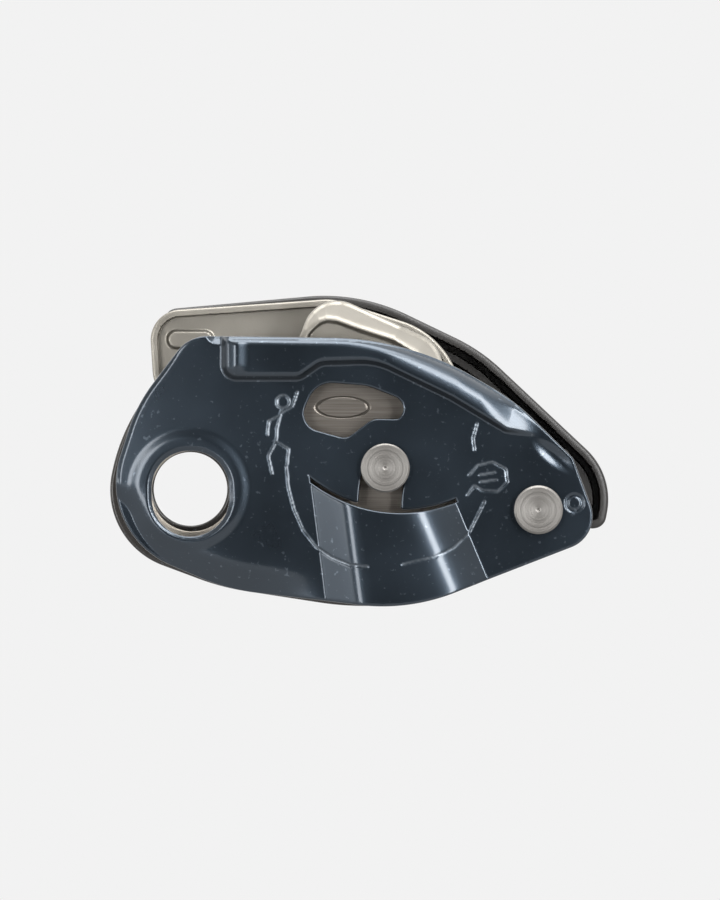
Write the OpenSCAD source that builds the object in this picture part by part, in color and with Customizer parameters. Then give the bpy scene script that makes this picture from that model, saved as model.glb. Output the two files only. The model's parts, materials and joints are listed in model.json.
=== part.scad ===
// Assisted-braking belay device for a single climbing rope.
// X runs from the attachment hole to the nose, Z is up, and the moving side plate faces -Y.
// The origin is the centre of the fixed side plate's attachment hole, halfway through its sheet.
// Outlines are lists of [x, z, corner radius], clockwise, drawn in the XZ plane, extruded along Y.

/* [Main places] */
// Cam axle, [x, z]
cam_at = [45, 4.9]; // [0:0.1:100]
// Pivot of the moving side plate, [x, z]
pivot_at = [80.1, -4.7]; // [-30:0.1:100]
// Fold pivot of the handle grip on the release lever, [x, z]
fold_at = [6, 34.5]; // [0:0.1:60]

/* [Depths along Y] */
// Outer face of the moving side plate
front_face = -20.8; // [-22:0.1:-20]
// Sheet thickness of the moving side plate
front_t = 2.2; // [1.8:0.1:2.4]
// Sheet thickness of the fixed side plate
back_t = 2.8; // [2.4:0.1:3]
// Sheet thickness of the friction plate
liner_t = 1.2; // [1:0.1:1.3]
// Front face of the cam
cam_front = -15.6; // [-15.6:0.1:-14]
// Rear face of the cam
cam_rear = -3; // [-4:0.1:-2.9]

/* [Holes and shafts] */
// Radius of the attachment hole
hole_r = 8.5; // [8:0.1:8.6]
// Radius of the cam axle and of the plate pivot pin
shank_r = 4; // [3.6:0.1:4]
// Radius of the turned heads
head_r = 5.6; // [5.2:0.05:5.8]
// Thickness of the turned heads
head_t = 2.1; // [1.8:0.1:2.2]
// Radial running clearance of every turning fit
run_gap = 0.06; // [0.03:0.01:0.09]
// Angle the cam can turn to pinch the rope
cam_swing = 22; // [15:1:25]
// Angle the release lever can pull the cam back past rest
cam_back = 18; // [10:1:20]

/* [Release lever and grip] */
// Sheet thickness of the release lever
lever_t = 1.8; // [1.4:0.1:2]
// Depth of the grip along Y
grip_depth = 8.4; // [7:0.1:11]
// Wall thickness of the grip
grip_wall = 1.8; // [1.4:0.1:2.2]

/* [Hidden] */
$fn = 64;
arc_step = 2.2;          // longest chord along a rounded corner
head_gap = 0.3;          // air between a head and the sheet behind it
bridge_rise = 5.1;       // how far the raised bridge stands out of the moving side plate
lip_rise = 3;            // how far the flared lip stands out of the moving side plate
rim_h = 2.5;             // height of the release lever's turned-up rim
front_inner = front_face + front_t;
back_face = -back_t / 2;
back_outer = back_t / 2;
liner_face = back_face - liner_t;
lever_front = back_outer + 0.5;
lever_y = lever_front + rim_h;
lever_rear = lever_y + lever_t;
grip_y = lever_rear + 0.3;
grip_rear = grip_y + grip_depth;
fold_shank_r = 3;
bush_wall = 1.2;
slot_r = shank_r + 0.85; // half width of the slot the cam axle runs in

front_outline = [[0, 35.2, 8.4], [50.6, 34.5, 66.5], [74.9, 20.1, 48.9], [88.1, 7.1, 1], [94.7, -10.6, 7.6],
                 [50.3, -27.8, 45.4], [8.6, -23, 48.1], [-21.6, -10, 20.4], [-12, 19.5, 35.7]];
back_outline = [[0.6, 34.2, 12.5], [50.7, 33.3, 66.4], [76.5, 18.4, 28.6], [90, 3.5, 12], [94.9, -10.2, 7.4],
                [48.8, -29.2, 68.9], [7.3, -22.8, 55.6], [-21.4, -12.1, 18.7], [-15.7, 15.8, 45]];
lever_outline = [[-9.7, 41, 7], [32.8, 44, 11.7], [62.3, 34.5, 20], [63.5, 5.7, 8],
                 [51, -8.6, 9.5], [37.1, -0.9, 19.6], [27.6, 12.7, 18.4], [-8.4, 20.3, 9.1]];
grip_outline = [[-6.3, 41.6, 3], [39.1, 45.7, 44.2], [67.2, 32.2, 41.3], [98.1, 3.2, 16], [95.9, -8.9, 2.9],
                [91.8, -9.4, 2], [84.2, 5.5, 12.1], [66.3, 19.2, 18.2], [51.3, 16.6, 19.8], [27.1, 6.1, 18],
                [13.1, 13.5, 12.4], [5.4, 26.4, 11.4], [-6, 32, 4.4]];
window_outline = [[24.9, 14.7, 4.1], [29.2, 24.7, 5.7], [41.1, 23.7, 10.2], [51.4, 19.5, 2.9],
                  [47.9, 16.1, 1], [42.1, 16.2, 4.1], [36.1, 11.6, 2.8]];
// The moving side plate's attachment hole is drawn out downwards
front_hole_outline = [[-9.7, 10.3, 9.3], [9.3, 10.3, 9.3], [9.9, -11.2, 9], [-9.3, -11.2, 9.2]];
// Line between the cam and the thumb rest on top of it, as [left point, right point]
thumb_line = [[14, 32.4], [68, 24.4]];
cam_outline = [[29.5, 46.2, 8], [56.5, 34, 8], [62.4, 18, 12], [63.5, -13.4, 17],
               [28, -13.4, 17], [19.5, 20, 12]];
pad_outline = [[34, 41.6, 5], [64, 31.8, 34], [94.4, 1, 4], [91.6, -3.6, 1], [83, 11, 12],
               [66, 23, 14], [46, 22, 8], [32, 32, 5]];
rib_outline = [[-2.5, 37.2, 3], [39, 40.6, 40], [65, 27.8, 34], [92.6, 3, 3], [90, -1.6, 1],
               [60, 21, 12], [20, 23, 12], [0, 31, 3]];

// Raised bridge of the moving side plate: foot and crest lines as [upper point, lower point]
left_foot = [[28.2, 0], [31.6, -26.5]];
left_crest = [[35.3, -3], [38.8, -27]];
right_foot = [[61.4, -3], [70.35, -25]];
right_crest = [[54.4, -5], [62.4, -25.5]];
mouth_at = [48.6, 28.6];
mouth_r = 34;
// Flared lip of the moving side plate: crease lines as [left point, right point]
lip_left = [[7.5, 24.9], [48.2, 26.6]];
lip_right = [[44, 28.9], [82.5, 6.4]];

// ---- outline helpers ----
function unit(v) = v / norm(v);
function turn(a, b) = (b - a + 900) % 360 - 180;
function polar(at, r, a) = at + r * [cos(a), sin(a)];
function corner_arc(before, at, after, r) =
    let (u = unit(before - at), w = unit(after - at),
         half = acos(max(-1, min(1, u * w))) / 2,
         centre = at + unit(u + w) * r / sin(half),
         from = at + u * r / tan(half) - centre,
         to = at + w * r / tan(half) - centre,
         a0 = atan2(from[1], from[0]),
         sweep = turn(a0, atan2(to[1], to[0])),
         steps = max(3, ceil(abs(sweep) * PI / 180 * r / arc_step)))
    [for (i = [0 : steps]) polar(centre, r, a0 + sweep * i / steps)];
function rounded(corners) =
    let (n = len(corners), xy = [for (c = corners) [c[0], c[1]]])
    [for (i = [0 : n - 1]) each corner_arc(xy[(i + n - 1) % n], xy[i], xy[(i + 1) % n], corners[i][2])];
// The same rounded outline, parallel and d further in.
function shrunk(corners, d) =
    let (n = len(corners), xy = [for (c = corners) [c[0], c[1]]])
    [for (i = [0 : n - 1])
        let (at = xy[i], u = unit(xy[(i + n - 1) % n] - at), w = unit(xy[(i + 1) % n] - at),
             half = acos(max(-1, min(1, u * w))) / 2,
             side = u[0] * w[1] - u[1] * w[0] > 0 ? 1 : -1,
             moved = at + unit(u + w) * side * d / sin(half))
        [moved[0], moved[1], max(0.3, corners[i][2] - side * d)]];
function arc_points(at, r, a0, a1, n) = [for (i = [0 : n]) polar(at, r, a0 + (a1 - a0) * i / n)];

module slab(y0, y1) {
    translate([0, y1, 0]) rotate([90, 0, 0]) linear_extrude(y1 - y0) children();
}
module rod(at, r, y0, y1) {
    slab(y0, y1) translate(at) circle(r);
}
module ring(at, r_in, r_out, y0, y1) {
    slab(y0, y1) translate(at) difference() {
        circle(r_out);
        circle(r_in);
    }
}
module rim_band(outline, wall, y0, y1) {
    slab(y0, y1) difference() {
        polygon(rounded(outline));
        polygon(rounded(shrunk(outline, wall)));
    }
}
// Slot with round ends along an arc round a point.
module arc_slot(at, r, half, a0, a1, y0, y1) {
    rod(polar(at, r, a0), half, y0, y1);
    rod(polar(at, r, a1), half, y0, y1);
    slab(y0, y1) polygon(concat(arc_points(at, r + half - 0.01, a0, a1, 6),
                                arc_points(at, r - half + 0.01, a1, a0, 6)));
}
// Straight bar with round ends.
module link(a, b, r, y0, y1) {
    side = unit([a[1] - b[1], b[0] - a[0]]) * r;
    rod(a, r, y0, y1);
    rod(b, r, y0, y1);
    slab(y0, y1) polygon([a + side, b + side, b - side, a - side]);
}
// Strip of sheet that slopes out of the moving side plate from a line; across is +1 or -1.
module sloped_strip(from, to, across, wide, rise) {
    run = to - from;
    slope = rise / wide;
    translate([from[0], 0, from[1]]) rotate([0, atan2(-run[0], -run[1]) + 180, 0])
        translate([0, 0, -3]) linear_extrude(norm(run) + 6)
        polygon([[across * -0.6, front_face + 0.05], [across * wide, front_face - rise - slope * 0.6],
                 [across * (wide + 0.9), front_inner - rise], [across * 0.6, front_inner]]);
}
// Coil of round wire standing along Y.
module coil(at, r, wire, turns, y0, pitch) {
    steps = 16 * turns;
    sides = 6;
    points = [for (i = [0 : steps]) let (a = 22.5 * i) for (k = [0 : sides - 1])
        let (b = 60 * k, reach = r + wire * cos(b))
        [at[0] + reach * cos(a), y0 + pitch * i / 16 + wire * sin(b), at[1] + reach * sin(a)]];
    walls = [for (i = [0 : steps - 1]) for (k = [0 : sides - 1])
        [i * sides + k, i * sides + (k + 1) % sides,
         (i + 1) * sides + (k + 1) % sides, (i + 1) * sides + k]];
    first = [for (k = [sides - 1 : -1 : 0]) k];
    last = [for (k = [0 : sides - 1]) steps * sides + k];
    polyhedron(points, concat([first, last], walls));
}

// ---- fixed side ----
rivet_at = [[3, 25], [16, -17], [90.2, -7.5]];
stop_pin_at = polar(cam_at, 11.5, 255);
drive_r = 12.5;
drive_pin_r = 1.8;
drive_angle = 60;
module fixed_side_plate() color([0.2, 0.19, 0.18]) difference() {
    slab(back_face, back_outer) polygon(rounded(back_outline));
    rod([0, 0], hole_r, back_face - 1, back_outer + 1);
    rod(cam_at, shank_r, back_face - 1, back_outer + 1);
    rod(pivot_at, shank_r, back_face - 1, back_outer + 1);
    rod(stop_pin_at, 1.5, back_face - 1, back_outer + 1);
    arc_slot(cam_at, drive_r, 2.6, drive_angle + cam_back + 2, drive_angle - cam_swing - 2,
             back_face - 1, back_outer + 1);
    for (at = rivet_at) rod(at, 1.6, back_face - 1, back_outer + 1);
}
// Stainless liner of the fixed side.
module friction_plate() color([0.66, 0.64, 0.6]) difference() {
    slab(liner_face, back_face) polygon(rounded(shrunk(back_outline, 0.9)));
    rod([0.4, -0.5], hole_r + 0.8, liner_face - 1, back_face + 1);
    rod(cam_at, shank_r, liner_face - 1, back_face + 1);
    rod(pivot_at, shank_r, liner_face - 1, back_face + 1);
    rod(stop_pin_at, 1.5, liner_face - 1, back_face + 1);
    arc_slot(cam_at, drive_r, 2.6, drive_angle + cam_back + 2, drive_angle - cam_swing - 2,
             liner_face - 1, back_face + 1);
    for (at = rivet_at) rod(at, 1.6, liner_face - 1, back_face + 1);
}
// Curved wall that the cam pinches the brake strand against, across the rope channel.
module friction_shoe() color([0.66, 0.64, 0.6]) slab(front_inner + 0.8, liner_face) intersection() {
    translate(pivot_at + [8, 7]) difference() {
        circle(17.5);
        circle(15.6);
    }
    polygon([[66, -1], [66, 15], [76, 15], [82, 6], [78, 1]]);
}
module friction_plate_rivets() color([0.7, 0.69, 0.66]) for (at = rivet_at) {
    rod(at, 1.6, liner_face, back_outer);
    rod(at, 2.4, liner_face - 0.6, liner_face);
    rod(at, 2.4, back_outer, back_outer + 0.4);
}
module cam_axle() color([0.68, 0.67, 0.64]) {
    rod(cam_at, head_r, front_face - head_gap - head_t, front_face - head_gap);
    rod(cam_at, shank_r, front_face - head_gap, lever_rear + 1.5);
}
module axle_rear_washer() color([0.6, 0.6, 0.6])
    ring(cam_at, shank_r, 6.4, lever_rear + 0.1, lever_rear + 0.6);
module axle_retaining_ring() color([0.3, 0.3, 0.3])
    ring(cam_at, shank_r, 5.4, lever_rear + 0.6, lever_rear + 1.3);
module cam_stop_pin() color([0.62, 0.61, 0.59]) rod(stop_pin_at, 1.5, cam_rear - 2.4, back_outer);
module plate_pivot_pin() color([0.68, 0.67, 0.64]) {
    rod(pivot_at, head_r, front_face - head_gap - head_t, front_face - head_gap);
    rod(pivot_at, shank_r, front_face - head_gap, back_outer + 0.5);
    rod(pivot_at, head_r, back_outer + 0.5, back_outer + 2);
}
module pivot_spacer() color([0.55, 0.55, 0.56])
    ring(pivot_at, shank_r, shank_r + 2, front_inner + 0.6, liner_face);
module pivot_rear_washer() color([0.6, 0.6, 0.6])
    ring(pivot_at, shank_r, shank_r + 2.6, back_outer, back_outer + 0.5);
module cam_spring() color([0.6, 0.6, 0.62]) coil(cam_at, 7.3, 0.5, 3, cam_rear - 3.9, 1.15);
module lever_spring() color([0.6, 0.6, 0.62]) coil(cam_at, 7.4, 0.4, 1, back_outer + 0.9, 1.1);

// ---- moving side plate ----
module front_slab(y0, y1) slab(y0, y1) polygon(rounded(front_outline));
// Where the bridge takes the place of the flat sheet.
module bridge_zone(y0, y1) slab(y0, y1) difference() {
    polygon([left_foot[0] + [-0.8, 6], right_foot[0] + [-2.5, 6],
             right_foot[1], right_foot[1] + [0, -9], left_foot[1] + [0, -9], left_foot[1]]);
    translate(mouth_at) circle(mouth_r);
}
module bridge_clip(y0, y1) slab(y0, y1) difference() {
    polygon([[20, 0], [76, 0], [76, -40], [20, -40]]);
    translate(mouth_at) circle(mouth_r);
}
module lip_zone(y0, y1) slab(y0, y1)
    polygon([lip_left[0], lip_left[1] + [-1.4, 0], lip_right[1], [96, 14], [60, 60], [7.5, 60]]);
ring_at = [88.4, -3.2];
module moving_side_plate() color([0.15, 0.19, 0.24]) difference() {
    union() {
        difference() {
            front_slab(front_face, front_inner);
            bridge_zone(front_face - 1, front_inner + 1);
            lip_zone(front_face - 1, front_inner + 1);
        }
        intersection() {
            union() {
                sloped_strip(left_foot[1], left_foot[0], 1, 7.2, bridge_rise);
                sloped_strip(right_foot[1], right_foot[0], -1, 8, bridge_rise);
                slab(front_face - bridge_rise, front_inner - bridge_rise)
                    polygon([left_crest[0] + [-0.2, 4], right_crest[0] + [0.2, 4],
                             right_crest[1] + [0.2, -1], left_crest[1] + [-0.2, -1]]);
            }
            front_slab(front_face - bridge_rise, front_inner);
            bridge_clip(front_face - bridge_rise - 1, front_inner + 1);
        }
        intersection() {
            union() {
                sloped_strip(lip_left[0], lip_left[1], -1, 14, lip_rise * 1.4);
                sloped_strip(lip_right[0], lip_right[1], -1, 14, lip_rise * 1.4);
            }
            front_slab(front_face - lip_rise, front_inner);
            slab(front_face - lip_rise - 1, front_inner + 1)
                polygon([[7.5, 20], [7.5, 60], [96, 60], [96, 2], [79, 2], [46, 20]]);
        }
    }
    slab(front_face - 1, front_inner + 1) polygon(rounded(front_hole_outline));
    rod(pivot_at, shank_r + run_gap, front_face - 1, front_inner + 1);
    rod(ring_at, 1.6, front_face - 1, front_face + 0.9);
    slab(front_face - 1, front_inner + 1) polygon(rounded(window_outline));
    arc_slot(pivot_at, norm(cam_at - pivot_at), slot_r,
             atan2(cam_at[1] - pivot_at[1], cam_at[0] - pivot_at[0]), 184, front_face - 1, front_inner + 1);
}
module pivot_slide_washer() color([0.85, 0.84, 0.8])
    ring(pivot_at, shank_r + run_gap, shank_r + 2.4, front_inner, front_inner + 0.5);

// ---- cam ----
flange_t = 1.9;
groove_depth = 4.2;
pocket_y = cam_rear - 4.8;
module thumb_zone(y0, y1) slab(y0, y1) polygon(concat(thumb_line, [[80, 60], [0, 60]]));
module cam() color([0.7, 0.68, 0.65]) difference() {
    slab(cam_front, cam_rear) polygon(rounded(cam_outline));
    thumb_zone(cam_front - 1, cam_rear + 1);
    // rope groove round the left, lower and right sides
    slab(cam_front + flange_t, cam_rear - flange_t) difference() {
        polygon(rounded(shrunk(cam_outline, -1)));
        polygon(rounded(shrunk(cam_outline, groove_depth)));
        polygon([[10, 28], [20, 60], [70, 60], [70, 22], [45, 20]]);
    }
    rod(cam_at, shank_r + bush_wall, cam_front - 1, cam_rear + 1);
    rod(polar(cam_at, drive_r, drive_angle), drive_pin_r, pocket_y, cam_rear + 1);
    // spring pocket and the stop pin's arc, both open at the rear
    rod(cam_at, 8.6, pocket_y, cam_rear + 1);
    slab(pocket_y + 2, cam_rear + 1) polygon(concat(arc_points(cam_at, 13.4, 227, 287, 10),
                                                    arc_points(cam_at, 8, 287, 227, 10)));
}
// Arched cap on top of the cam: a wall round the outline that slopes down to the front, and a back.
module cam_thumb_rest() color([0.74, 0.72, 0.68]) intersection() {
    difference() {
        slab(cam_front, cam_rear) polygon(rounded(cam_outline));
        slab(cam_front - 1, cam_rear - 1.6) polygon(rounded(shrunk(cam_outline, 2)));
        translate([26, cam_front, 38]) rotate([0, 22, 0]) rotate([17, 0, 0]) translate([-30, -5, 0])
            cube([80, 30, 20]);
    }
    thumb_zone(cam_front, cam_rear);
}
module cam_bush() color([0.72, 0.55, 0.32])
    ring(cam_at, shank_r + run_gap, shank_r + bush_wall, cam_front - 0.7, cam_rear - 1.8);
module cam_drive_pin() color([0.62, 0.61, 0.59])
    rod(polar(cam_at, drive_r, drive_angle), drive_pin_r, pocket_y, lever_rear - 0.2);

// ---- release lever ----
detent_at = fold_at + [4, -4];
detent_rivet_at = fold_at + [10.2, -10.2];
module release_lever() color([0.63, 0.62, 0.6]) difference() {
    union() {
        slab(lever_y, lever_rear) polygon(rounded(lever_outline));
        intersection() {
            rim_band(lever_outline, 1.4, lever_front, lever_y + 0.4);
            slab(lever_front, lever_y + 0.4) polygon([[-20, 21], [-20, 60], [70, 60], [70, 26], [52, 26]]);
        }
    }
    rod(cam_at, shank_r + bush_wall, lever_y - 1, lever_rear + 1);
    rod(fold_at, fold_shank_r, lever_y + 0.6, lever_rear + 1);
    rod(detent_at, 1.25, lever_y - 1, lever_rear + 1);
    rod(detent_rivet_at, 1, lever_y - 1, lever_rear + 1);
    rod(polar(cam_at, drive_r, drive_angle), drive_pin_r + run_gap, lever_y - 1, lever_rear + 1);
}
module lever_bush() color([0.72, 0.55, 0.32]) {
    ring(cam_at, shank_r + run_gap, shank_r + bush_wall, back_outer + 0.1, lever_rear);
    ring(cam_at, shank_r + bush_wall, shank_r + 2.4, lever_y - 0.5, lever_y);
}
module fold_pin() color([0.68, 0.67, 0.64]) {
    rod(fold_at, fold_shank_r, lever_y + 0.6, grip_rear + 0.1);
    rod(fold_at, 4.6, grip_rear + 0.1, grip_rear + 1.1);
}
module fold_washer() color([0.6, 0.6, 0.6])
    ring(fold_at, fold_shank_r, 4.1, lever_rear, lever_rear + 0.22);
// Ball of the fold detent, in a hole of the lever, pressed against the grip by a leaf spring
module detent_ball() color([0.8, 0.8, 0.8])
    translate([detent_at[0], lever_rear - 0.98, detent_at[1]]) sphere(1.18);
module detent_spring() color([0.7, 0.68, 0.6]) difference() {
    link(detent_at, detent_rivet_at, 1.9, lever_y - 0.6, lever_y - 0.4);
    rod(detent_rivet_at, 1, lever_y - 1, lever_y);
}
module detent_rivet() color([0.68, 0.67, 0.64]) {
    rod(detent_rivet_at, 1, lever_y - 0.6, lever_rear);
    rod(detent_rivet_at, 1.8, lever_y - 1, lever_y - 0.6);
    rod(detent_rivet_at, 1.8, lever_y - 0.4, lever_y);
}

// ---- folding grip ----
grip_hub_r = 7;
peg_at = [[40, 33], [86.5, 8]];
module handle_grip() color([0.07, 0.07, 0.07]) difference() {
    slab(grip_y, grip_rear) polygon(rounded(grip_outline));
    difference() {
        slab(grip_y - 1, grip_rear - grip_wall) polygon(rounded(shrunk(grip_outline, grip_wall)));
        rod(fold_at, grip_hub_r, grip_y - 1, grip_rear);
        for (at = peg_at) rod(at, 2.4, grip_y - 1, grip_rear);
        // rib that runs parallel to the outer wall
        rim_band(rib_outline, 1.1, grip_y + 1.2, grip_rear);
    }
    rod(fold_at, fold_shank_r + bush_wall, grip_y - 1, grip_rear + 1);
    for (at = peg_at) rod(at, 1.2, grip_y - 1, grip_rear + 1);
}
module grip_bush() color([0.72, 0.55, 0.32])
    ring(fold_at, fold_shank_r + run_gap, fold_shank_r + bush_wall, grip_y, grip_rear);
module grip_pad() color([0.16, 0.16, 0.16]) difference() {
    slab(grip_rear, grip_rear + 0.8) polygon(rounded(pad_outline));
    for (at = peg_at) rod(at, 1.2, grip_rear - 1, grip_rear + 1);
}
module grip_pad_pegs() color([0.16, 0.16, 0.16]) for (at = peg_at) {
    rod(at, 1.2, grip_y + 0.5, grip_rear + 0.8);
    rod(at, 2, grip_rear + 0.8, grip_rear + 1.1);
}

fixed_side_plate();
friction_plate();
friction_shoe();
friction_plate_rivets();
cam_axle();
axle_rear_washer();
axle_retaining_ring();
cam_stop_pin();
plate_pivot_pin();
pivot_spacer();
pivot_rear_washer();
cam_spring();
lever_spring();
moving_side_plate();
pivot_slide_washer();
cam();
cam_thumb_rest();
cam_bush();
cam_drive_pin();
release_lever();
lever_bush();
fold_pin();
fold_washer();
detent_spring();
detent_ball();
detent_rivet();
handle_grip();
grip_bush();
grip_pad();
grip_pad_pegs();
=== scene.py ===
"""Looks of the belay device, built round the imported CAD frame.

Sizes are in millimetres until a mesh is made. Outlines are lists of (x, z, corner radius) in the XZ
plane, as in the CAD. Pressed and moulded pieces are made by plate(): a fine sheet with a front and a
back surface, each given as a depth along Y for every point of the outline.
"""

import json
import math

import bpy
import numpy as np
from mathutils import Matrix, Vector


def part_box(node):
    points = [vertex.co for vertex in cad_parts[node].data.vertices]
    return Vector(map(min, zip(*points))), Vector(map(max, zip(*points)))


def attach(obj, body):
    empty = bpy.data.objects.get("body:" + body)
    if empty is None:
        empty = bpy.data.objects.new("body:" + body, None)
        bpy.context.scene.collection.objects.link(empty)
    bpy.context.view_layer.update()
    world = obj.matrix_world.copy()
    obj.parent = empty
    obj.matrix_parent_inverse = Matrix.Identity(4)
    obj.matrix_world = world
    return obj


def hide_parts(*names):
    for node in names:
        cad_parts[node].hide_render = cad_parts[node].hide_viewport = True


MM = 0.001
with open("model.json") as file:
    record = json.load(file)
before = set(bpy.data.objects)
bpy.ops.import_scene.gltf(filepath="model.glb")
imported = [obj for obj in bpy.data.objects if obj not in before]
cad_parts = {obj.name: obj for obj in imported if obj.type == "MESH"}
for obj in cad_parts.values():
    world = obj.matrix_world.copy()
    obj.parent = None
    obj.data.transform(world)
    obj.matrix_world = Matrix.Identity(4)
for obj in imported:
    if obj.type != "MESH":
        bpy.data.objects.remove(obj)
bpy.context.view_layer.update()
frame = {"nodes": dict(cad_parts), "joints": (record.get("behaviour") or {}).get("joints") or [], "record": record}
nodes = frame["nodes"]


def box_mm(node):
    low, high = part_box(node)
    return np.array(low) / MM, np.array(high) / MM


# ---- places read from the frame ----
joint_at = {j["name"]: np.array(j["pos_m"]) / MM for j in frame["joints"]}
CAM_AT = joint_at["cam_hinge"][[0, 2]]
PIVOT_AT = joint_at["side_plate_hinge"][[0, 2]]
FOLD_AT = joint_at["grip_fold"][[0, 2]]
BRIDGE_Y = box_mm("moving_side_plate")[0][1]
FRONT_Y = box_mm("pivot_slide_washer")[0][1] - 2.2
BRIDGE_RISE = FRONT_Y - BRIDGE_Y
BACK_IN, BACK_OUT = box_mm("fixed_side_plate")[0][1], box_mm("fixed_side_plate")[1][1]
LEVER_FRONT, LEVER_REAR = box_mm("release_lever")[0][1], box_mm("release_lever")[1][1]
GRIP_FRONT, GRIP_REAR = box_mm("handle_grip")[0][1], box_mm("handle_grip")[1][1]
REST_FRONT, REST_REAR = box_mm("cam_thumb_rest")[0][1], box_mm("cam_thumb_rest")[1][1]
PLATE_T = 2.2
LEVER_T = 1.8

# ---- outlines ----
FRONT = [(0, 35.2, 8.4), (50.6, 34.5, 66.5), (74.9, 20.1, 48.9), (88.1, 7.1, 1), (94.7, -10.6, 7.6),
         (50.3, -27.8, 45.4), (8.6, -23, 48.1), (-21.6, -10, 20.4), (-12, 19.5, 35.7)]
BACK = [(0.6, 34.2, 12.5), (50.7, 33.3, 66.4), (76.5, 18.4, 28.6), (90, 3.5, 12), (94.9, -10.2, 7.4),
        (48.8, -29.2, 68.9), (7.3, -22.8, 55.6), (-21.4, -12.1, 18.7), (-15.7, 15.8, 45)]
LEVER = [(-9.7, 41, 7), (32.8, 44, 11.7), (62.3, 34.5, 20), (63.5, 5.7, 8),
         (51, -8.6, 9.5), (37.1, -0.9, 19.6), (27.6, 12.7, 18.4), (-8.4, 20.3, 9.1)]
GRIP = [(-6.3, 41.6, 3), (39.1, 45.7, 44.2), (67.2, 32.2, 41.3), (98.1, 3.2, 16), (95.9, -8.9, 2.9),
        (91.8, -9.4, 2), (84.2, 5.5, 12.1), (66.3, 19.2, 18.2), (51.3, 16.6, 19.8), (27.1, 6.1, 18),
        (13.1, 13.5, 12.4), (5.4, 26.4, 11.4), (-6, 32, 4.4)]
CAM = [(29.5, 46.2, 8), (56.5, 34, 8), (62.4, 18, 12), (63.5, -13.4, 17),
       (28, -13.4, 17), (19.5, 20, 12)]
HOLE = [(-8.6, 8.8, 8.5), (8.8, 8.8, 8.5), (9.6, -10.9, 9), (-8.6, -10.8, 8.8)]
WINDOW = [(24.9, 14.7, 4.1), (29.2, 24.7, 5.7), (41.1, 23.7, 10.2), (51.4, 19.5, 2.9),
          (47.9, 16.1, 1), (42.1, 16.2, 4.1), (36.1, 11.6, 2.8)]
# Everything above and right of the crease of the pressed lip
LIP = [(7.4, 60, 1), (100, 60, 1), (100, 3, 1), (87.6, 3, 1), (80.6, 11.8, 4), (72.5, 13, 3),
       (59.8, 20.6, 20), (43, 28.7, 14), (30.4, 28.3, 3.5), (25.6, 24.9, 4), (7.4, 24.9, 3.6)]
MOUTH_AT, MOUTH_R = (48.6, 28.6), 34.0
LEFT_FOOT = ((28.2, 0), (31.6, -26.5))
RIGHT_FOOT = ((61.4, -3), (70.6, -25))


# ---- outline maths ----
def rounded(corners, step=0.6):
    """Points of a closed outline with its corners rounded."""
    xy = np.array([c[:2] for c in corners], float)
    out = []
    for i, (_, _, r) in enumerate(corners):
        at = xy[i]
        u = xy[i - 1] - at
        w = xy[(i + 1) % len(xy)] - at
        u, w = u / np.linalg.norm(u), w / np.linalg.norm(w)
        half = math.acos(np.clip(u @ w, -1, 1)) / 2
        centre = at + (u + w) / np.linalg.norm(u + w) * r / math.sin(half)
        a0, a1 = (math.atan2(*(p - centre)[::-1]) for p in (at + u * r / math.tan(half),
                                                             at + w * r / math.tan(half)))
        sweep = (a1 - a0 + math.pi) % (2 * math.pi) - math.pi
        n = max(3, int(abs(sweep) * r / step))
        angles = a0 + sweep * np.arange(n + 1) / n
        out.append(centre + r * np.c_[np.cos(angles), np.sin(angles)])
    return np.vstack(out)


def segment_distance(points, a, b):
    ab = b - a
    t = np.clip(((points - a) @ ab) / max(ab @ ab, 1e-12), 0, 1)
    return np.linalg.norm(points - a - t[:, None] * ab, axis=1)


def path_distance(points, path):
    d = np.full(len(points), 1e9)
    for a, b in zip(path[:-1], path[1:]):
        d = np.minimum(d, segment_distance(points, a, b))
    return d


def depth(points, outline):
    """How far inside a closed outline each point is; negative outside."""
    closed = np.vstack([outline, outline[:1]])
    inside = np.zeros(len(points), bool)
    x, z = points.T
    for a, b in zip(closed[:-1], closed[1:]):
        if a[1] != b[1]:
            crossing = (a[1] > z) != (b[1] > z)
            inside ^= crossing & (x < (b[0] - a[0]) * (z - a[1]) / (b[1] - a[1]) + a[0])
    d = path_distance(points, closed)
    return np.where(inside, d, -d)


def line_side(points, line):
    """Signed distance from a line; positive on its left when going from its first point to its last."""
    a, b = np.array(line, float)
    u = (b - a) / np.linalg.norm(b - a)
    return u[0] * (points[:, 1] - a[1]) - u[1] * (points[:, 0] - a[0])


def disc(points, at, r):
    return r - np.linalg.norm(points - np.array(at), axis=1)


def smooth(t):
    t = np.clip(t, 0, 1)
    return t * t * (3 - 2 * t)


def ramp(t, foot, crest):
    """0 below t = 0 and 1 above t = 1, straight between, with a rounded foot and crest."""
    return 0.5 * (1 + np.sqrt(t * t + foot * foot) - np.sqrt((1 - t) ** 2 + crest * crest))


def edge_drop(d, r):
    """How far a quarter-round edge of radius r falls at a distance d in from the edge."""
    e = np.clip(r - d, 0, r)
    return r - np.sqrt(np.maximum(r * r - e * e, 0))


def arc_slot_depth(points, at, radius, half, a0, a1):
    """Depth inside a slot with round ends that runs along an arc, angles in degrees."""
    angles = np.radians(np.linspace(a0, a1, 12))
    path = np.array(at) + radius * np.c_[np.cos(angles), np.sin(angles)]
    return half - path_distance(points, path)


# ---- mesh builders ----
NUDGE = 0.02  # step for the slope of a depth


def new_mesh(name, vertices, faces, body, stands_for=()):
    mesh = bpy.data.meshes.new(name)
    mesh.from_pydata((np.asarray(vertices) * MM).tolist(), [], [list(f) for f in faces])
    mesh.validate()
    mesh.update()
    mesh.polygons.foreach_set("use_smooth", [True] * len(mesh.polygons))
    piece = bpy.data.objects.new(name, mesh)
    bpy.context.scene.collection.objects.link(piece)
    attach(piece, body)
    if stands_for:
        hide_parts(*stands_for)
    return piece


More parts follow.
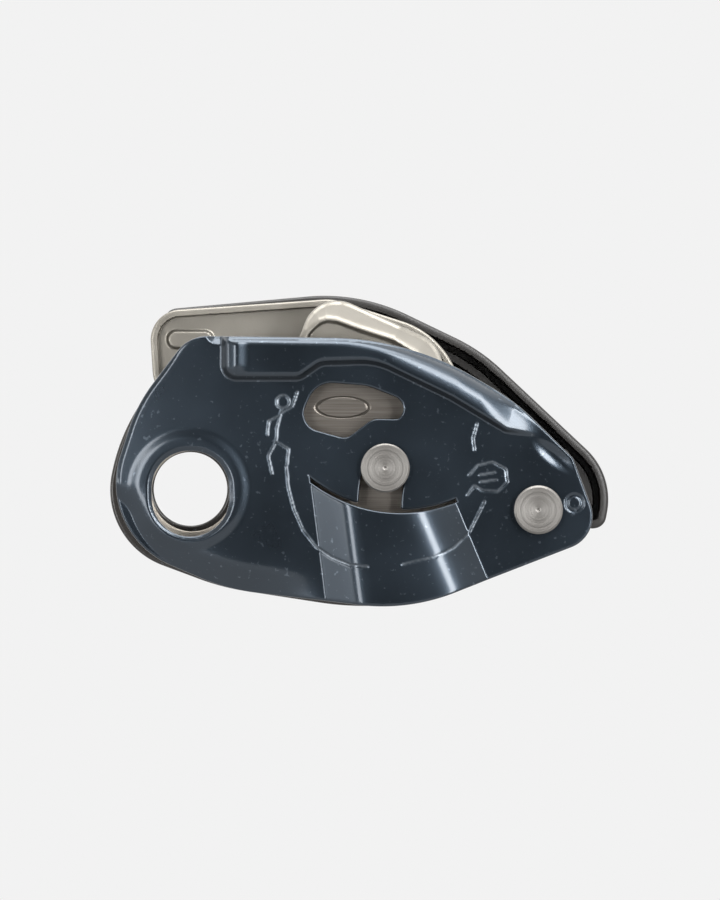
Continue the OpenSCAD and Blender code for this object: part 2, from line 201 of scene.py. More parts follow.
def plate(name, inside, front, back, body, stands_for,
          pitch=0.3, inset=0.45, front_r=0.45, back_r=0.45, steps=()):
    """A sheet or moulding. inside(points) is the depth in from its edges, front and back give Y.

    steps are (function, level) pairs: mesh rows are drawn to a step's level and to one pitch past it.
    The sheet stops at the inset from its edges; rings of a quarter ellipse then carry it round to the wall.
    """
    probe = np.array([(x, z) for x in np.arange(-30, 110, 2.0) for z in np.arange(-34, 54, 2.0)])
    found = probe[inside(probe) > -3]
    (x0, z0), (x1, z1) = found.min(0) - 2, found.max(0) + 2
    xs, zs = np.arange(x0, x1, pitch), np.arange(z0, z1, pitch)
    gx, gz = np.meshgrid(xs, zs, indexing="ij")
    p = np.c_[gx.ravel(), gz.ravel()]

    def inward(q):
        base = inside(q)
        slope = np.c_[inside(q + [NUDGE, 0]) - base, inside(q + [0, NUDGE]) - base]
        return base - inset, slope / np.maximum(np.linalg.norm(slope, axis=1, keepdims=True), 1e-9)

    for value, level in steps:
        off = value(p) - level
        slope = np.c_[value(p + [NUDGE, 0]) - value(p), value(p + [0, NUDGE]) - value(p)] / NUDGE
        slope /= np.maximum(np.linalg.norm(slope, axis=1, keepdims=True), 1e-9)
        target = np.where(np.abs(off) < pitch / 2, 0, pitch)
        drawn = (off > -pitch / 2) & (off < 1.5 * pitch)
        p[drawn] = p[drawn] + (target - off)[drawn, None] * slope[drawn]
    d = inside(p) - inset
    near = np.abs(d) < 0.71 * pitch
    for _ in range(2):
        base, slope = inward(p[near])
        p[near] = p[near] - base[:, None] * slope
    d[near] = 0
    nx, nz = len(xs), len(zs)
    i = (np.arange(nx - 1)[:, None] * nz + np.arange(nz - 1)[None, :]).ravel()
    flip = ((i // nz + i % nz) % 2).astype(bool)
    a, b, c, e = i, i + nz, i + nz + 1, i + 1
    t1 = np.where(flip[:, None], np.c_[a, b, e], np.c_[a, b, c])
    t2 = np.where(flip[:, None], np.c_[b, c, e], np.c_[a, c, e])
    tris = np.vstack([t1, t2])
    tris = tris[(d[tris] >= 0).all(1)]
    all_edge = np.where((d[tris] == 0).all(1))[0]
    keep = np.ones(len(tris), bool)
    keep[all_edge[inside(p[tris[all_edge]].mean(1)) - inset <= 0.02]] = False
    tris = tris[keep]
    used = np.unique(tris)
    renumber = np.zeros(len(p), int)
    renumber[used] = np.arange(len(used))
    tris, p, d = renumber[tris], p[used], d[used] + inset
    n = len(p)
    y_front, y_back = front(p, d), back(p, d)
    edges = np.vstack([tris[:, [0, 1]], tris[:, [1, 2]], tris[:, [2, 0]]])
    key = edges.min(1) * n + edges.max(1)
    _, first, count = np.unique(key, return_index=True, return_counts=True)
    rim = edges[first[count == 1]]
    rim_points = np.unique(rim)
    place = np.zeros(n, int)
    place[rim_points] = np.arange(len(rim_points))
    base, slope = inward(p[rim_points])
    rings = [rim_points]
    vertices = [np.c_[p[:, 0], y_front, p[:, 1]], np.c_[p[:, 0], y_back, p[:, 1]]]
    top = 2 * n
    for y, r, sign, angles in ((y_front, front_r, 1, (30, 60, 90)), (y_back, back_r, -1, (90, 60, 30))):
        for t in np.radians(angles):
            q = p[rim_points] - slope * inset * math.sin(t)
            vertices.append(np.c_[q[:, 0], y[rim_points] + sign * r * (1 - math.cos(t)), q[:, 1]])
            rings.append(top + np.arange(len(rim_points)))
            top += len(rim_points)
    rings.append(rim_points + n)
    faces = tris.tolist() + (tris[:, ::-1] + n).tolist()
    one, two = place[rim[:, 0]], place[rim[:, 1]]
    for low, high in zip(rings[:-1], rings[1:]):
        faces += np.c_[low[two], low[one], high[one], high[two]].tolist()
    return new_mesh(name, np.vstack(vertices), faces, body, stands_for)


def sharp_above(piece, degrees):
    piece.data.set_sharp_from_angle(angle=math.radians(degrees))


def turned(name, at, profile, body, stands_for=(), around=96):
    """A turned piece: profile is (radius, y) points, from the axis at the front to the axis at the back."""
    angles = np.linspace(0, 2 * math.pi, around, endpoint=False)
    vertices, faces = [], []
    for r, y in profile:
        vertices += [(at[0] + r * math.cos(a), y, at[1] + r * math.sin(a)) for a in angles]
    for k in range(len(profile) - 1):
        for j in range(around):
            j2 = (j + 1) % around
            faces.append((k * around + j, k * around + j2, (k + 1) * around + j2, (k + 1) * around + j))
    faces.append(tuple(range(around - 1, -1, -1)))
    faces.append(tuple(range((len(profile) - 1) * around, len(profile) * around)))
    piece = new_mesh(name, vertices, faces, body, stands_for)
    sharp_above(piece, 8)
    return piece


# ---- materials ----
class Nodes:
    """A node tree; values and sockets can be given alike."""

    def __init__(self, tree):
        self.tree = tree
        self.place = None

    def node(self, kind, **inputs):
        made = self.tree.nodes.new(kind)
        for key, value in inputs.items():
            socket = made.inputs[key.replace("_", " ")]
            if hasattr(value, "is_output"):
                self.tree.links.new(value, socket)
            else:
                socket.default_value = value
        return made

    def stretched(self, scale, at=(0, 0, 0)):
        mapping = self.node("ShaderNodeMapping", Vector=self.place)
        mapping.inputs["Scale"].default_value = scale
        mapping.inputs["Location"].default_value = at
        return mapping.outputs["Vector"]

    def noise(self, scale, detail=3, vector=None):
        n = self.node("ShaderNodeTexNoise", Vector=vector or self.place, Scale=scale, Detail=detail)
        return n.outputs["Fac"]

    def ramp(self, value, *stops):
        r = self.node("ShaderNodeValToRGB", Fac=value)
        keys = r.color_ramp.elements
        while len(keys) < len(stops):
            keys.new(0.5)
        for key, (at, tone) in zip(keys, stops):
            key.position = at
            key.color = (*tone, 1) if hasattr(tone, "__len__") else (tone, tone, tone, 1)
        return r.outputs["Color"]

    def mix(self, fac, a, b, mode="MIX"):
        m = self.node("ShaderNodeMix")
        m.data_type = "RGBA"
        m.blend_type = mode
        for socket, value in ((m.inputs[0], fac), (m.inputs[6], a), (m.inputs[7], b)):
            if hasattr(value, "is_output"):
                self.tree.links.new(value, socket)
            else:
                socket.default_value = (*value, 1) if hasattr(value, "__len__") else value
        return m.outputs[2]

    def math(self, op, a, b=0.0):
        m = self.node("ShaderNodeMath")
        m.operation = op
        for socket, value in zip(m.inputs, (a, b)):
            if hasattr(value, "is_output"):
                self.tree.links.new(value, socket)
            else:
                socket.default_value = value
        return m.outputs[0]


class Shader(Nodes):
    """One procedural material in object coordinates."""

    def __init__(self, name, base, rough, metal=0.0, **uniform):
        self.mat = bpy.data.materials.new(name)
        self.mat.use_nodes = True
        super().__init__(self.mat.node_tree)
        self.bsdf = self.tree.nodes["Principled BSDF"]
        self.bsdf.inputs["Base Color"].default_value = (*base, 1)
        self.bsdf.inputs["Roughness"].default_value = rough
        self.bsdf.inputs["Metallic"].default_value = metal
        for key, value in uniform.items():
            self.bsdf.inputs[key.replace("_", " ")].default_value = value
        self.place = self.node("ShaderNodeTexCoord").outputs["Object"]
        self.height = None

    def set(self, socket, value):
        self.tree.links.new(value, self.bsdf.inputs[socket])

    def bump(self, height, distance, strength=1.0):
        b = self.node("ShaderNodeBump", Height=height, Distance=distance, Strength=strength)
        if self.height is not None:
            self.tree.links.new(self.height, b.inputs["Normal"])
        self.height = b.outputs["Normal"]
        self.tree.links.new(self.height, self.bsdf.inputs["Normal"])


def linear(hex_code):
    def one(c):
        return c / 12.92 if c <= 0.04045 else ((c + 0.055) / 1.055) ** 2.4
    return tuple(one(int(hex_code[i:i + 2], 16) / 255) for i in (0, 2, 4))


def anodised(name, tone, bright, rough, engraved):
    s = Shader(name, tone, 0.3, 0.95, Coat_Weight=0.7, Coat_Roughness=0.15)
    speck = s.ramp(s.noise(900, 2), (0.66, 0.0), (0.74, 1.0))
    cloud = s.noise(45, 4)
    tint = s.mix(s.ramp(cloud, (0.3, 0.0), (0.75, 0.6)), tone, bright)
    tint = s.mix(s.math("MULTIPLY", speck, 0.25), tint, linear("7d8894"))
    if engraved:
        mark = s.node("ShaderNodeAttribute")
        mark.attribute_name = "mark"
        # engraved lines painted lighter in noise patches: partly the bare metal of the engraving, partly a painted
        # highlight where the lines catch the light
        engraving_and_glint = s.math("MULTIPLY", mark.outputs["Fac"],
                        s.ramp(s.noise(420, 3), (0.35, 0.1), (0.65, 0.8)))
        tint = s.mix(engraving_and_glint, tint, linear("767e86"))
    s.set("Base Color", tint)
    s.set("Roughness", s.ramp(cloud, (0.25, rough), (0.8, rough + 0.08)))
    s.bump(s.noise(2600, 2), 0.00002, 0.5)
    return s.mat


def brushed(name, tone, bright, rough, grain_scale, depth_m=0.000012):
    """Steel with a straight grain; grain_scale is small along the grain."""
    s = Shader(name, tone, rough, 1.0)
    grain = s.noise(1.0, 4, s.stretched(grain_scale))
    s.set("Base Color", s.mix(s.ramp(grain, (0.35, 0.0), (0.68, 1.0)), tone, bright))
    s.set("Roughness", s.ramp(s.noise(60, 3), (0.3, rough * 0.85), (0.7, rough * 1.2)))
    s.bump(grain, depth_m)
    return s.mat


def blasted(name, tone, bright, rough):
    s = Shader(name, tone, rough, 0.9)
    grit = s.noise(1900, 3)
    blotch = s.noise(70, 5)
    s.set("Base Color", s.mix(s.ramp(blotch, (0.3, 0.0), (0.75, 1.0)), tone, bright))
    s.set("Roughness", s.ramp(blotch, (0.3, rough), (0.8, rough * 1.25)))
    s.bump(grit, 0.00004, 0.6)
    return s.mat


def turned_steel(name, axes):
    """Stainless with fine rings round each of the axes, which run along Y, and a painted conic highlight round the
    first axis.
    """
    s = Shader(name, linear("c9c7c4"), 0.22, 1.0)
    split = s.node("ShaderNodeSeparateXYZ", Vector=s.place)
    nearest = None
    for x, z in axes:
        dx = s.math("SUBTRACT", split.outputs["X"], x * MM)
        dz = s.math("SUBTRACT", split.outputs["Z"], z * MM)
        r = s.math("SQRT", s.math("ADD", s.math("MULTIPLY", dx, dx), s.math("MULTIPLY", dz, dz)))
        nearest = r if nearest is None else s.math("MINIMUM", nearest, r)
    along = s.node("ShaderNodeCombineXYZ", X=s.math("MULTIPLY", nearest, 9000.0))
    rings = s.noise(1.0, 2, along.outputs[0])
    wide = s.node("ShaderNodeCombineXYZ", X=s.math("MULTIPLY", nearest, 2600.0))
    bands = s.noise(1.0, 1, wide.outputs[0])
    # painted conic highlight: a lit copy and a shaded copy of the ringed steel are mixed by the cosine of twice
    # the angle round the first axis, so two opposite sectors look lit and the two between look shaded
    turn = s.math("ARCTAN2", s.math("SUBTRACT", split.outputs["Z"], axes[0][1] * MM),
                  s.math("SUBTRACT", split.outputs["X"], axes[0][0] * MM))
    sweep = s.math("MULTIPLY", s.math("COSINE", s.math("MULTIPLY", turn, 2.0)), 0.5)
    tint = s.mix(rings, linear("6b6966"), linear("85827e"))
    highlit_rings = s.mix(rings, linear("7e7c79"), linear("a09d99"))
    s.set("Base Color", s.mix(s.math("ADD", sweep, 0.5), tint, highlit_rings))
    s.set("Roughness", s.ramp(bands, (0.35, 0.34), (0.65, 0.46)))
    s.bump(rings, 0.00001, 0.5)
    return s.mat


def nylon(name, tone, bright, rough, grit_scale, grit_depth):
    s = Shader(name, tone, rough, 0.0, Specular_IOR_Level=0.5)
    grit = s.noise(grit_scale, 4)
    blotch = s.noise(55, 3)
    s.set("Base Color", s.mix(s.ramp(blotch, (0.35, 0.0), (0.75, 1.0)), tone, bright))
    s.set("Roughness", s.ramp(blotch, (0.3, rough), (0.75, rough * 1.25)))
    s.bump(grit, grit_depth, 0.6)
    return s.mat


def cam_steel():
    """Brushed steel with a plain engraved oval in the middle of the window."""
    s = Shader("cam_steel", linear("9a948c"), 0.36, 1.0)
    grain = s.noise(1.0, 4, s.stretched((60, 60, 2600)))
    split = s.node("ShaderNodeSeparateXYZ", Vector=s.place)
    dx = s.math("DIVIDE", s.math("SUBTRACT", split.outputs["X"], 0.0352), 0.0060)
    dz = s.math("DIVIDE", s.math("SUBTRACT", split.outputs["Z"], 0.0188), 0.0024)
    r = s.math("SQRT", s.math("ADD", s.math("MULTIPLY", dx, dx), s.math("MULTIPLY", dz, dz)))
    off = s.math("ABSOLUTE", s.math("SUBTRACT", r, 1.0))
    cut = s.ramp(off, (0.04, 0.0), (0.10, 1.0))
    tint = s.mix(s.ramp(grain, (0.35, 0.0), (0.68, 1.0)), linear("6a655f"), linear("7e7973"))
    s.set("Base Color", s.mix(cut, linear("504c47"), tint))
    s.bump(grain, 0.000012)
    s.bump(cut, 0.00012)
    return s.mat


MATERIALS = {
    "cam_steel": cam_steel(),
    "plate_blue": anodised("plate_blue", linear("2d353d"), linear("343d46"), 0.26, True),
    "plate_dark": anodised("plate_dark", linear("302e2c"), linear("3a3836"), 0.5, False),
    "steel_brushed": brushed("steel_brushed", linear("9a948c"), linear("c2bcb2"), 0.3, (60, 60, 2600)),
    "steel_turned": turned_steel("steel_turned", [CAM_AT, PIVOT_AT, FOLD_AT]),
    "pivot_turned": turned_steel("pivot_turned", [PIVOT_AT]),
    "steel_blasted": blasted("steel_blasted", linear("858179"), linear("96928a"), 0.38),
    "bronze": brushed("bronze", linear("a87f4a"), linear("c39a60"), 0.35, (900, 900, 900)),
    "spring_steel": brushed("spring_steel", linear("8c8c90"), linear("b5b5b8"), 0.3, (1500, 1500, 1500)),
    "grip_nylon": nylon("grip_nylon", linear("1a1817"), linear("211f1d"), 0.34, 1500, 0.00003),
    "grip_rubber": nylon("grip_rubber", linear("1d1c1b"), linear("262423"), 0.62, 2400, 0.00006),
    "slide_ring": nylon("slide_ring", linear("d8d4c8"), linear("e2ded4"), 0.4, 900, 0.00002),
    "liner": blasted("liner", linear("9c958b"), linear("aea79c"), 0.42),
}


# ---- pressed side plate in front ----
FRONT_LINE, BACK_LINE, LEVER_LINE = rounded(FRONT), rounded(BACK), rounded(LEVER)
GRIP_LINE, HOLE_LINE, WINDOW_LINE, LIP_LINE = rounded(GRIP), rounded(HOLE), rounded(WINDOW), rounded(LIP)
SLIT = 0.7           # gap along the open mouth of the bridge
AXLE_SLOT_HALF = 4.85
AXLE_SLOT_END = 184  # degrees round the pivot
BOW = 0.0011         # how fast the sheet bows back to the left
ENGRAVED = 0.12
STAMPED = 0.22
THINNEST = 1.1
swing_r = np.linalg.norm(CAM_AT - PIVOT_AT)
swing_a = math.degrees(math.atan2(*(CAM_AT - PIVOT_AT)[::-1]))
RING_AT = (88.4, -3.2)  # the small ring stamped beside the pivot

ROPE_MARKS = [
    [(22.3, 5.1), (22.7, 0.4), (24, -4.6), (26.1, -9.4),
     (29.1, -13.3), (32.7, -15.7), (37, -17.4), (41, -17.8)],
    [(48.9, -17.3), (56.3, -15.5), (60.7, -13.4), (64.2, -10), (67.8, -2.8)],
    [(66.1, 15.1), (65.1, 11.6), (65.5, 8.9)],
]
# A plain climber: head ring, trunk, reaching arm, rope arm and two legs
CLIMBER_MARKS = [
    [(21.5 + 1.5 * math.cos(a), 20 + 1.5 * math.sin(a)) for a in np.linspace(0, 2 * math.pi, 13)],
    [(21.2, 18.4), (20.2, 14.2), (19.9, 10.9)], [(21, 17.4), (23.6, 18.9), (24.8, 22.3)],
    [(20.8, 16.8), (18.2, 15.6), (17.9, 12.4)], [(19.9, 10.9), (22.8, 9.2), (22.4, 5.6)],
    [(19.9, 10.9), (18.1, 7.6), (19, 3.6)],
]
# A plain hand that holds the brake strand
HAND_MARKS = [
    [(64.2, 3.2), (66.2, 5.4), (69.6, 6.2), (72.6, 4.6), (73, 1.6), (70.8, -0.6), (67.4, -0.4), (65.4, 0.8)],
    [(66.6, 3.2), (70.2, 3.8)], [(66.8, 1.6), (70.6, 2.1)], [(65.4, 0.8), (63.8, -1.4)],
]
MARKS = [np.array(m, float) for m in ROPE_MARKS + CLIMBER_MARKS + HAND_MARKS]


def mouth_reach(p):
    return np.linalg.norm(p - np.array(MOUTH_AT), axis=1)


def between_feet(p):
    return np.minimum(line_side(p, LEFT_FOOT), -line_side(p, RIGHT_FOOT))


def side_plate_inside(p):
    d = depth(p, FRONT_LINE)
    reach = mouth_reach(p)
    axle_slot = arc_slot_depth(p, PIVOT_AT, swing_r, AXLE_SLOT_HALF, swing_a, AXLE_SLOT_END)
    cuts = [depth(p, HOLE_LINE), depth(p, WINDOW_LINE), disc(p, PIVOT_AT, 4.05),
            np.minimum(axle_slot, MOUTH_R - SLIT / 2 - reach),
            np.minimum(np.minimum(reach - MOUTH_R + SLIT, MOUTH_R - reach), between_feet(p))]
    for cut in cuts:
        d = np.minimum(d, -cut)
    return d


def mark_strength(p):
    d = np.full(len(p), 9.0)
    for path in MARKS:
        d = np.minimum(d, path_distance(p, path))
    ring = np.abs(np.linalg.norm(p - np.array(RING_AT), axis=1) - 1.8)
    return smooth((0.36 - d) / 0.22), smooth((0.5 - ring) / 0.2)


def side_plate_shape(p):
    """Y of the sheet's front: bridge, lip, dimple, dish round the hole and rolled edges."""
    x, z = p.T
    outer = depth(p, FRONT_LINE)
    y = np.full(len(p), FRONT_Y)
    left = ramp(line_side(p, LEFT_FOOT) / 7.2, 0.04, 0.2)
    right = ramp(-line_side(p, RIGHT_FOOT) / 8, 0.04, 0.42)
    rise = BRIDGE_RISE * np.clip(np.minimum(left, right), 0, 1) * (mouth_reach(p) > MOUTH_R - SLIT / 2)
    lip = depth(p, LIP_LINE)
    far = smooth((81 - x) / 14)
    bead = 2.4 * np.clip(ramp(lip / 0.9, 0.05, 0.2), 0, 1) - 0.075 * np.maximum(lip - 1.2, 0) ** 2
    flat = 2.1 * np.clip(ramp(lip / 1.3, 0.05, 0.3), 0, 1)
    right_part = smooth((x - 36) / 12)
    lift = far * (flat * (1 - right_part) + np.maximum(-1.4, bead) * right_part)
    lift = lift + smooth((14 - x) / 4) * 0.6 * smooth((lip - 1) / 3) * (lip > 0)
    dimple = np.hypot((x - 83.8) * 0.62 + (z - 7.6) * 0.78, ((z - 7.6) * 0.62 - (x - 83.8) * 0.78) * 0.35)
    dish = 0.4 * smooth((14.4 - np.hypot(x, z)) / 3)
    low = smooth((32 - x) / 18) * smooth((2 - z) / 8)
    fall = 5.6 - outer
    y = y - rise - lift - dish + 0.5 * smooth((2.4 - dimple) / 2.2)
    y = y + low * 0.21 * (fall + np.sqrt(fall * fall + 1.2)) * (rise < 0.5)
    y = y + BOW * np.maximum(0, 26 - x) ** 2
    y = y + 1.3 * smooth((3.2 - np.hypot(x - 6.6, z - 36.0)) / 2.4)
    hole_edge = np.maximum(-depth(p, HOLE_LINE), 0)
    y = y + edge_drop(hole_edge, 1.3)
    roll = 0.5 + 1.9 * far * smooth(lip / 3) + 0.6 * smooth(-x / 6)
    return y + edge_drop(np.maximum(outer, 0), roll)


def side_plate_front(p, d):
    line, ring = mark_strength(p)
    y = side_plate_shape(p) + ENGRAVED * line + STAMPED * ring
    return np.clip(y, BRIDGE_Y + 0.02, FRONT_Y + PLATE_T + 1)


def side_plate_back(p, d):
    y = side_plate_shape(p) + PLATE_T - 0.1
    front = side_plate_front(p, d)
    deepest = FRONT_Y + PLATE_T - 0.01 + 2.2 * smooth((22 - p[:, 0]) / 14)
    return np.maximum(np.minimum(y, deepest), front + THINNEST)


side_plate = plate("side_plate_sheet", side_plate_inside, side_plate_front, side_plate_back,
                   "moving_side", ["moving_side_plate"],
                   pitch=0.27, inset=0.4, front_r=0.4, back_r=0.3)
co = np.zeros(len(side_plate.data.vertices) * 3)
side_plate.data.vertices.foreach_get("co", co)
co = co.reshape(-1, 3) / MM
marked = mark_strength(co[:, [0, 2]])[0] * (np.arange(len(co)) < len(co) // 2)
tone = side_plate.data.attributes.new("mark", "FLOAT", "POINT")
tone.data.foreach_set("value", marked.astype(np.float32))


# ---- release lever, a stamped pan ----
def lever_inside(p):
    return np.minimum(depth(p, LEVER_LINE), -disc(p, CAM_AT, 5.2))


def lever_front_y(p, d):
    x, z = p.T
    outer = depth(p, LEVER_LINE)
    floor = LEVER_REAR - LEVER_T
    rim = smooth((1.75 - outer) / 0.3) * smooth((z - 19 - x * 0.05) / 3)
    bead = 0.75 * smooth((2.4 - segment_distance(p, np.array([-3.4, 34.6]), np.array([3.2, 34.6]))) / 0.8)
    return floor - rim * (floor - LEVER_FRONT) - bead * (1 - rim)


lever = plate("lever_pan", lever_inside, lever_front_y,
              lambda p, d: np.full(len(p), LEVER_REAR),
              "lever_group", ["release_lever"], pitch=0.3,
              steps=[(lambda p: depth(p, LEVER_LINE), 1.45)])


# ---- folding grip, a moulded channel with a rounded back ----
GRIP_PITCH = 0.32
GRIP_WALL = 1.8      # wall and floor of the moulding
RIB_AT, RIB_HALF = 4.4, 0.8


def grip_depth(p):
    return depth(p, GRIP_LINE)


def grip_front_y(p, d):
    outer = depth(p, GRIP_LINE)
    floor = GRIP_REAR - GRIP_WALL
    wall = smooth((GRIP_WALL + GRIP_PITCH - outer) / GRIP_PITCH)
    rib = smooth((RIB_HALF + GRIP_PITCH - np.abs(outer - RIB_AT)) / GRIP_PITCH) * 0.55
    hub = smooth((disc(p, FOLD_AT, 7)) / 0.5)
    raised = np.maximum(np.maximum(wall, rib), hub)
    return floor - raised * (floor - GRIP_FRONT)


def grip_rear_y(p, d):
    return GRIP_REAR - edge_drop(np.maximum(depth(p, GRIP_LINE) - 1.2, 0), 2.2) * 0.5


grip = plate("grip_moulding",
             lambda p: np.minimum(depth(p, GRIP_LINE), -disc(p, FOLD_AT, 4.2)),
             grip_front_y, grip_rear_y, "grip_group", ["handle_grip"],
             pitch=GRIP_PITCH, inset=1.2, front_r=0.5, back_r=2.2,
             steps=[(grip_depth, GRIP_WALL), (grip_depth, RIB_AT - RIB_HALF - GRIP_PITCH),
                    (grip_depth, RIB_AT + RIB_HALF)])


for piece in (lever, grip):
    sharp_above(piece, 40)


# ---- fixed side plate ----
DRIVE_R, DRIVE_SLOT_HALF = 12.5, 2.6
DRIVE_SLOT_ENDS = (80, 36)  # degrees


def drive_slot(p):
    """Depth inside the slot, round the cam's axle, that the drive pin moves in."""
    return arc_slot_depth(p, CAM_AT, DRIVE_R, DRIVE_SLOT_HALF, *DRIVE_SLOT_ENDS)


def back_inside(p):
    return np.minimum(np.minimum(depth(p, BACK_LINE), -disc(p, (0, 0), 8.5)), -drive_slot(p))


fixed = plate("fixed_plate_sheet", back_inside,
              lambda p, d: np.full(len(p), BACK_IN), lambda p, d: np.full(len(p), BACK_OUT),
              "fixed_side", ["fixed_side_plate"], pitch=0.4, inset=0.6, front_r=0.5, back_r=0.7)


# ---- thumb rest, an arched cap whose brow slopes back from its near rim ----
CAM_LINE = rounded(CAM)
BROW = np.array([(26, 35.1), (26.7, 36.5), (28.1, 38), (29.6, 39.2), (31.4, 39.8), (34, 39.6), (39.2, 37.7),
                 (47.3, 35.1), (52.6, 31.9), (60, 26), (60, 20), (26, 20)], float)
THUMB_LINE = ((14, 32.4), (68, 24.4))


def rest_inside(p):
    return np.minimum(depth(p, CAM_LINE), line_side(p, THUMB_LINE))


def rest_front_y(p, d):
    e = -depth(p, BROW)
    slope = 0.5 * (e + np.sqrt(e * e + 0.5)) * 1.7
    recess = 1.3 * smooth((-e - 1.0) / 0.5)
    return np.minimum(REST_FRONT + 0.1 + slope + recess, REST_REAR - 2.4)


rest = plate("thumb_cap", rest_inside, rest_front_y, lambda p, d: np.full(len(p), REST_REAR),
             "cam_group", ["cam_thumb_rest"], pitch=0.3, inset=0.8, front_r=1.0, back_r=0.6)


# ---- liner of the fixed side, set in from the left and lower edges ----
def liner_inside(p):
    d = depth(p, BACK_LINE) - 0.9 - 2.4 * smooth((84 - p[:, 0]) / 14)
    return np.minimum(np.minimum(d, -disc(p, (0.4, -0.5), 9.3)), -drive_slot(p))


liner = plate("liner_sheet", liner_inside, lambda p, d: np.full(len(p), BACK_IN - 1.2),
              lambda p, d: np.full(len(p), BACK_IN - 0.01), "fixed_side",
              ["friction_plate"], pitch=0.4, inset=0.3, front_r=0.3, back_r=0.1)


# ---- turned pins ----
HEAD_R = 5.6
HEAD_T = 2.1


def pin_profile(node, rim, shank, end_head=False):
    """(radius, y) points of a pin with a dished head, and a second head at its rear if wanted."""
    low, high = box_mm(node)
    f, r = low[1], high[1]
    points = [(0.05, f + 0.35), (0.35, f + 0.12), (0.5, f + 0.06), (0.6, f + 0.05), (HEAD_R - rim, f),
              (HEAD_R - rim * 0.12, f + rim * 0.75), (HEAD_R, f + rim * 0.95),
              (HEAD_R, f + HEAD_T - 0.1), (HEAD_R - 0.1, f + HEAD_T), (shank, f + HEAD_T)]
    if end_head:
        return points + [(shank, r - 1.5), (HEAD_R - 0.1, r - 1.5), (HEAD_R, r - 1.4), (HEAD_R, r - 0.7),
                         (HEAD_R - 0.7, r), (0.05, r)]
    return points + [(shank, r - 0.4), (shank - 0.4, r), (0.05, r)]


axle = turned("axle_turned", CAM_AT, pin_profile("cam_axle", 0.35, 4),
              "fixed_side", ["cam_axle"])
pivot = turned("pivot_turned", PIVOT_AT, pin_profile("plate_pivot_pin", 0.5, 4, True),
               "fixed_side", ["plate_pivot_pin"])

# ---- finishes ----
FINISH_OF = {"friction_plate": "liner", "friction_shoe": "liner", "cam": "cam_steel"}
WIDE_EDGES = ("cam", "friction_plate", "grip_pad", "cam_thumb_rest")
slot_of = {s["node"]: s["material_slot"] for s in frame["record"]["subparts"]}
for node, piece in nodes.items():
    finish_name = FINISH_OF.get(node, slot_of[node])
    piece.data.materials.clear()
    piece.data.materials.append(MATERIALS[finish_name])
    if node not in ("cam_spring", "lever_spring"):
        soft = piece.modifiers.new("soft_edges", "BEVEL")
        soft.width = (0.35 if node in WIDE_EDGES else 0.15) * MM
        soft.segments = 3
        soft.limit_method = "ANGLE"
        soft.angle_limit = math.radians(35)
        soft.harden_normals = True
for piece, finish_name in ((side_plate, "plate_blue"), (lever, "steel_blasted"), (rest, "steel_blasted"),
                           (grip, "grip_nylon"), (fixed, "plate_dark"), (liner, "liner"),
                           (axle, "steel_turned"), (pivot, "pivot_turned")):
    piece.data.materials.append(MATERIALS[finish_name])

# ---- floor, light, camera ----
floor_mesh = bpy.data.meshes.new("floor")
FLOOR_HALF, FLOOR_NEAR, FLOOR_FAR, FLOOR_Z = 6, -0.62, 0.35, -0.12
floor_mesh.from_pydata([(-FLOOR_HALF, FLOOR_NEAR, FLOOR_Z), (FLOOR_HALF, FLOOR_NEAR, FLOOR_Z),
                        (FLOOR_HALF, FLOOR_FAR, FLOOR_Z), (-FLOOR_HALF, FLOOR_FAR, FLOOR_Z)],
                       [], [(0, 1, 2, 3)])
floor = bpy.data.objects.new("floor", floor_mesh)
bpy.context.scene.collection.objects.link(floor)
pale = Shader("pale_floor", (0.04, 0.04, 0.04), 0.9, Emission_Color=(1, 1, 1, 1), Emission_Strength=0.74)
pale.set("Base Color", pale.ramp(pale.noise(4, 2), (0.2, 0.038), (0.8, 0.042)))
floor_mesh.materials.append(pale.mat)

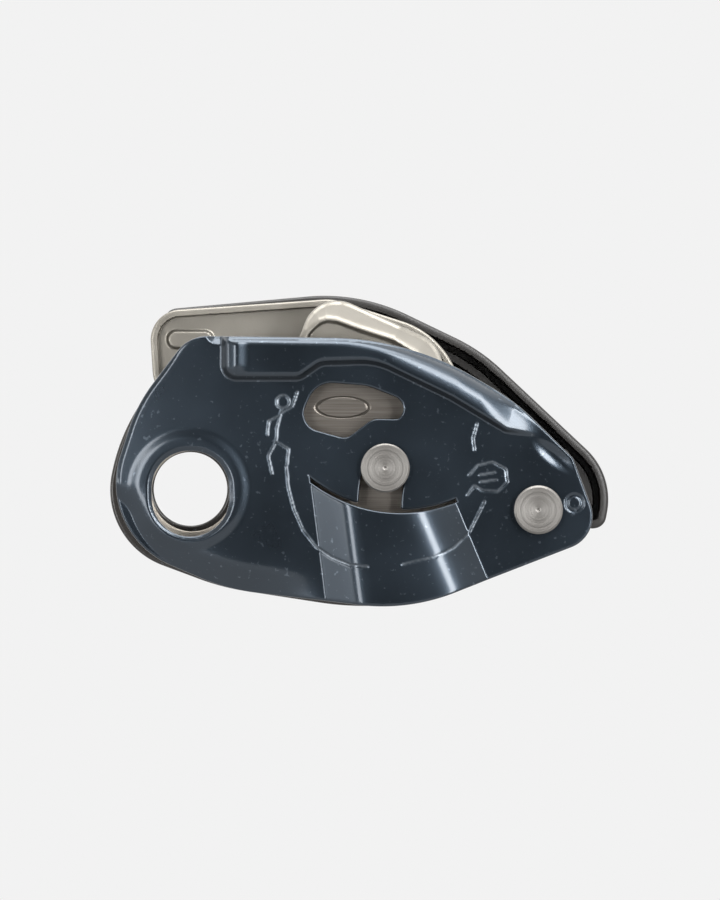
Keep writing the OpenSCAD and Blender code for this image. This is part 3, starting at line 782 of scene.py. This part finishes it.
world = bpy.data.worlds.new("studio")
bpy.context.scene.world = world
world.use_nodes = True
sky = Nodes(world.node_tree)
background = sky.tree.nodes["Background"]
direction = sky.node("ShaderNodeSeparateXYZ", Vector=sky.node("ShaderNodeTexCoord").outputs["Generated"])
side = sky.math("ADD", sky.math("MULTIPLY", direction.outputs["X"], -0.12),
                sky.math("MULTIPLY", direction.outputs["Z"], 0.95))
bright = sky.ramp(sky.math("ADD", sky.math("MULTIPLY", side, 0.5), 0.5),
                  (0.1, 0.75), (0.45, 0.95), (0.85, 2.0))
open_side = sky.ramp(sky.math("ADD", sky.math("MULTIPLY", direction.outputs["Y"], 0.5), 0.5),
                     (0.0, 0.0), (0.03, 0.01), (0.12, 0.24), (0.28, 0.55), (0.42, 1.0))
lit = sky.mix(1.0, bright, open_side, "MULTIPLY")
seen = sky.node("ShaderNodeLightPath").outputs["Is Camera Ray"]
tone = sky.mix(seen, lit, (0.888, 0.888, 0.888))
sky.tree.links.new(tone, background.inputs["Color"])
background.inputs["Strength"].default_value = 1.0


def softbox(name, at, aim, size, power):
    data = bpy.data.lights.new(name, "AREA")
    data.shape = "RECTANGLE"
    data.size, data.size_y = size
    data.energy = power
    lamp = bpy.data.objects.new(name, data)
    bpy.context.scene.collection.objects.link(lamp)
    lamp.location = at
    lamp.rotation_mode = "QUATERNION"
    lamp.rotation_quaternion = (Vector(aim) - Vector(at)).to_track_quat("-Z", "Y")
    return lamp


middle = (0.04, -0.01, 0.005)
lamps = [softbox("key", (0.60, -1.0, 0.28), middle, (0.24, 0.95), 12),
         softbox("upper_key", (0.45, -0.9, 0.88), middle, (0.32, 0.32), 4),
         softbox("top", (0.05, -0.42, 1.05), middle, (0.9, 0.6), 12),
         softbox("left", (-1.0, -0.55, -0.25), middle, (0.4, 0.7), 5),
         softbox("left_front", (-0.54, -1.22, -0.08), middle, (0.34, 0.9), 8.5)]
bpy.context.scene.view_settings.view_transform = "Standard"

# A long lens from far off, as flat as the photograph
EYE = (0.0392, -2.4, 0.009)
lens = bpy.data.cameras.new("photo_camera")
lens.sensor_fit = "VERTICAL"
lens.sensor_height = 36
lens.lens = 415
lens.clip_end = 20
camera = bpy.data.objects.new("photo_camera", lens)
bpy.context.scene.collection.objects.link(camera)
camera.location = EYE
camera.rotation_euler = (math.pi / 2, 0, 0)
bpy.context.scene.camera = camera
